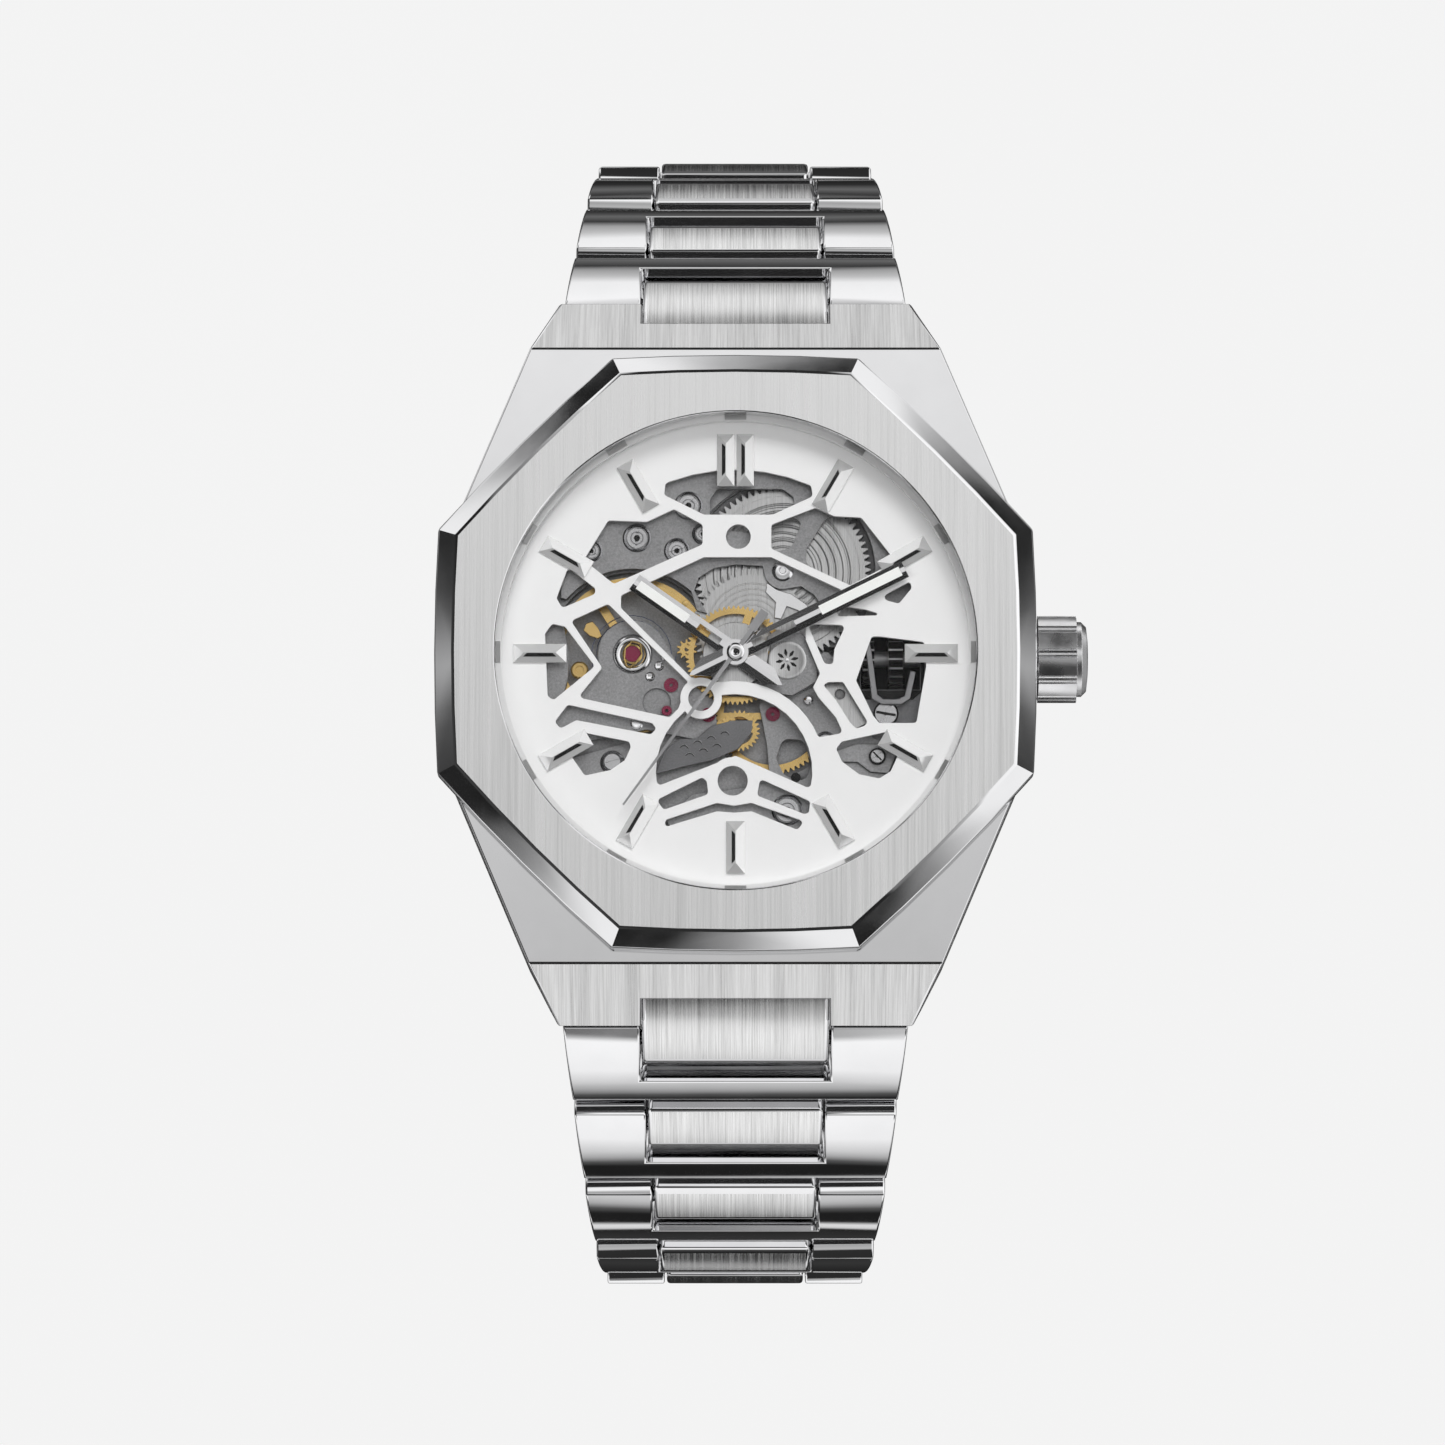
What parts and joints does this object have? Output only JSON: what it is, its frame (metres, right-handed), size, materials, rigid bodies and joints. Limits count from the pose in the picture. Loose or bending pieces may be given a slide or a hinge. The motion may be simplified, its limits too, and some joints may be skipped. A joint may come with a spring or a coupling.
{
  "type": "skeleton wristwatch",
  "caption": "Steel wristwatch with an octagonal bezel, a cut-out dial over an open movement, baton hands and a tapering link bracelet with a fold-over clasp.",
  "frame": {"origin": "centre of the case back's flat face, on the axis of the hands", "axes": "+Z out of the dial, +Y to 12 o'clock, +X to 3 o'clock and the crown"},
  "size_m": [0.0457, 0.0826, 0.0581],
  "materials": {
    "brushed_steel": "satin, lines along 12 to 6",
    "polished_steel": "mirror polish",
    "crystal": "clear, anti-reflective",
    "white_dial": "fine satin white",
    "ring_grey": "satin",
    "frosted_plate": "frosted grey",
    "gilt": "satin gilt",
    "ruby": "polished",
    "luminous": "matt",
    "gasket_rubber": "matt"
  },
  "bodies": {
    "case": {"case_middle": "brushed_steel", "bezel": "brushed_steel", "crystal": "crystal", "chapter_ring": "ring_grey", "dial": "white_dial", "hour_batons": "polished_steel", "movement_plate": "frosted_plate", "balance_bridge": "frosted_plate", "train_bridge": "frosted_plate", "jewels": "ruby", "screws": "polished_steel", "case_back": "brushed_steel", "back_glass": "crystal", "crown_tube": "polished_steel", "first_centre_links": "brushed_steel"},
    "crown_seal": {"crown_gasket": "gasket_rubber"},
    "crown": {"crown": "polished_steel", "winding_stem": "polished_steel"},
    "hour_hand": {"hour_hand": "polished_steel", "hour_hand_insert": "luminous", "hour_wheel": "polished_steel"},
    "minute_hand": {"minute_hand": "polished_steel", "minute_hand_insert": "luminous", "centre_wheel": "gilt"},
    "second_hand": {"second_hand": "polished_steel"},
    "barrel": {"barrel": "polished_steel"},
    "third_wheel": {"third_wheel": "gilt"},
    "fourth_wheel": {"fourth_wheel": "gilt"},
    "balance_wheel": {"balance_wheel": "gilt"},
    "winding_rotor": {"winding_rotor": "brushed_steel"},
    "clasp_cover": {"clasp_cover": "brushed_steel"},
    "clasp_blade": {"clasp_blade": "polished_steel"},
    "row_12_1": {"outer_link_12_1": "polished_steel", "centre_link_12_2": "brushed_steel"},
    "row_12_2": {"outer_link_12_2": "polished_steel", "centre_link_12_3": "brushed_steel"},
    "row_12_3": {"outer_link_12_3": "polished_steel", "centre_link_12_4": "brushed_steel"},
    "row_12_4": {"outer_link_12_4": "polished_steel", "centre_link_12_5": "brushed_steel"},
    "row_12_5": {"outer_link_12_5": "polished_steel", "centre_link_12_6": "brushed_steel"},
    "row_12_6": {"outer_link_12_6": "polished_steel", "centre_link_12_7": "brushed_steel"},
    "row_12_7": {"outer_link_12_7": "polished_steel", "centre_link_12_8": "brushed_steel"},
    "row_6_1": {"outer_link_6_1": "polished_steel", "centre_link_6_2": "brushed_steel"},
    "row_6_2": {"outer_link_6_2": "polished_steel", "centre_link_6_3": "brushed_steel"},
    "row_6_3": {"outer_link_6_3": "polished_steel", "centre_link_6_4": "brushed_steel"},
    "row_6_4": {"outer_link_6_4": "polished_steel", "centre_link_6_5": "brushed_steel"},
    "row_6_5": {"outer_link_6_5": "polished_steel", "centre_link_6_6": "brushed_steel"},
    "row_6_6": {"outer_link_6_6": "polished_steel", "centre_link_6_7": "brushed_steel"},
    "row_6_7": {"outer_link_6_7": "polished_steel", "centre_link_6_8": "brushed_steel"}
  },
  "joints": [
    {"name": "crown_pull", "type": "slide", "parent": "case", "child": "crown_seal", "axis": [1, 0, 0], "range_m": [0, 0.001]},
    {"name": "crown_turn", "type": "hinge", "parent": "crown_seal", "child": "crown", "pos_m": [0.0211, 0, 0.0044], "axis": [1, 0, 0], "continuous": true},
    {"name": "second_hand_turn", "type": "hinge", "parent": "case", "child": "second_hand", "pos_m": [0, 0, 0.0084], "axis": [0, 0, -1], "continuous": true},
    {"name": "minute_hand_turn", "type": "hinge", "parent": "case", "child": "minute_hand", "pos_m": [0, 0, 0.008], "axis": [0, 0, -1], "continuous": true},
    {"name": "hour_hand_turn", "type": "hinge", "parent": "case", "child": "hour_hand", "pos_m": [0, 0, 0.0077], "axis": [0, 0, -1], "continuous": true},
    {"name": "barrel_turn", "type": "hinge", "parent": "case", "child": "barrel", "pos_m": [0.0033, 0.006, 0.0054], "axis": [0, 0, -1], "continuous": true},
    {"name": "third_wheel_turn", "type": "hinge", "parent": "case", "child": "third_wheel", "pos_m": [0.0026, -0.0041, 0.005], "axis": [0, 0, -1], "continuous": true},
    {"name": "fourth_wheel_turn", "type": "hinge", "parent": "case", "child": "fourth_wheel", "pos_m": [0.00025, -0.0053, 0.0062], "axis": [0, 0, -1], "continuous": true},
    {"name": "balance_swing", "type": "hinge", "parent": "case", "child": "balance_wheel", "pos_m": [-0.0072, 0.0001, 0.0055], "axis": [0, 0, 1], "range_deg": [-270, 270], "stiffness_Nm_per_rad": 0.000001},
    {"name": "rotor_turn", "type": "hinge", "parent": "case", "child": "winding_rotor", "pos_m": [0, 0, 0.0015], "axis": [0, 0, 1], "continuous": true},
    {"name": "link_12_1", "type": "hinge", "parent": "case", "child": "row_12_1", "pos_m": [0, 0.02608, -0.00033], "axis": [-1, 0, 0], "range_deg": [-10, 0]},
    {"name": "link_12_2", "type": "hinge", "parent": "row_12_1", "child": "row_12_2", "pos_m": [0, 0.03134, -0.00707], "axis": [-1, 0, 0], "range_deg": [-10, 0]},
    {"name": "link_12_3", "type": "hinge", "parent": "row_12_2", "child": "row_12_3", "pos_m": [0, 0.036, -0.01424], "axis": [-1, 0, 0], "range_deg": [-16, 0]},
    {"name": "link_12_4", "type": "hinge", "parent": "row_12_3", "child": "row_12_4", "pos_m": [0, 0.0392, -0.02217], "axis": [-1, 0, 0], "range_deg": [-24, 0]},
    {"name": "link_12_5", "type": "hinge", "parent": "row_12_4", "child": "row_12_5", "pos_m": [0, 0.03965, -0.03071], "axis": [-1, 0, 0], "range_deg": [-29, 0]},
    {"name": "link_12_6", "type": "hinge", "parent": "row_12_5", "child": "row_12_6", "pos_m": [0, 0.03659, -0.03869], "axis": [-1, 0, 0], "range_deg": [-31, 0]},
    {"name": "link_12_7", "type": "hinge", "parent": "row_12_6", "child": "row_12_7", "pos_m": [0, 0.03033, -0.04452], "axis": [-1, 0, 0], "range_deg": [-31, 0]},
    {"name": "link_6_1", "type": "hinge", "parent": "case", "child": "row_6_1", "pos_m": [0, -0.02608, -0.00033], "axis": [1, 0, 0], "range_deg": [-10, 0]},
    {"name": "link_6_2", "type": "hinge", "parent": "row_6_1", "child": "row_6_2", "pos_m": [0, -0.03134, -0.00707], "axis": [1, 0, 0], "range_deg": [-10, 0]},
    {"name": "link_6_3", "type": "hinge", "parent": "row_6_2", "child": "row_6_3", "pos_m": [0, -0.036, -0.01424], "axis": [1, 0, 0], "range_deg": [-16, 0]},
    {"name": "link_6_4", "type": "hinge", "parent": "row_6_3", "child": "row_6_4", "pos_m": [0, -0.0392, -0.02217], "axis": [1, 0, 0], "range_deg": [-24, 0]},
    {"name": "link_6_5", "type": "hinge", "parent": "row_6_4", "child": "row_6_5", "pos_m": [0, -0.03965, -0.03071], "axis": [1, 0, 0], "range_deg": [-29, 0]},
    {"name": "link_6_6", "type": "hinge", "parent": "row_6_5", "child": "row_6_6", "pos_m": [0, -0.03659, -0.03869], "axis": [1, 0, 0], "range_deg": [-31, 0]},
    {"name": "link_6_7", "type": "hinge", "parent": "row_6_6", "child": "row_6_7", "pos_m": [0, -0.03033, -0.04452], "axis": [1, 0, 0], "range_deg": [-31, 0]},
    {"name": "clasp_cover_pivot", "type": "hinge", "parent": "row_12_7", "child": "clasp_cover", "pos_m": [0, 0.02216, -0.04702], "axis": [-1, 0, 0], "range_deg": [-22, 0]},
    {"name": "clasp_blade_pivot", "type": "hinge", "parent": "clasp_cover", "child": "clasp_blade", "pos_m": [0, 0.0136, -0.04617], "axis": [-1, 0, 0], "range_deg": [0, 100]}
  ],
  "couplings": [
    {"joint": "minute_hand_turn", "follows": "second_hand_turn", "ratio": 0.016667},
    {"joint": "hour_hand_turn", "follows": "second_hand_turn", "ratio": 0.0013889},
    {"joint": "third_wheel_turn", "follows": "second_hand_turn", "ratio": -0.125},
    {"joint": "fourth_wheel_turn", "follows": "second_hand_turn", "ratio": -1},
    {"joint": "barrel_turn", "follows": "second_hand_turn", "ratio": -0.0022222}
  ]
}
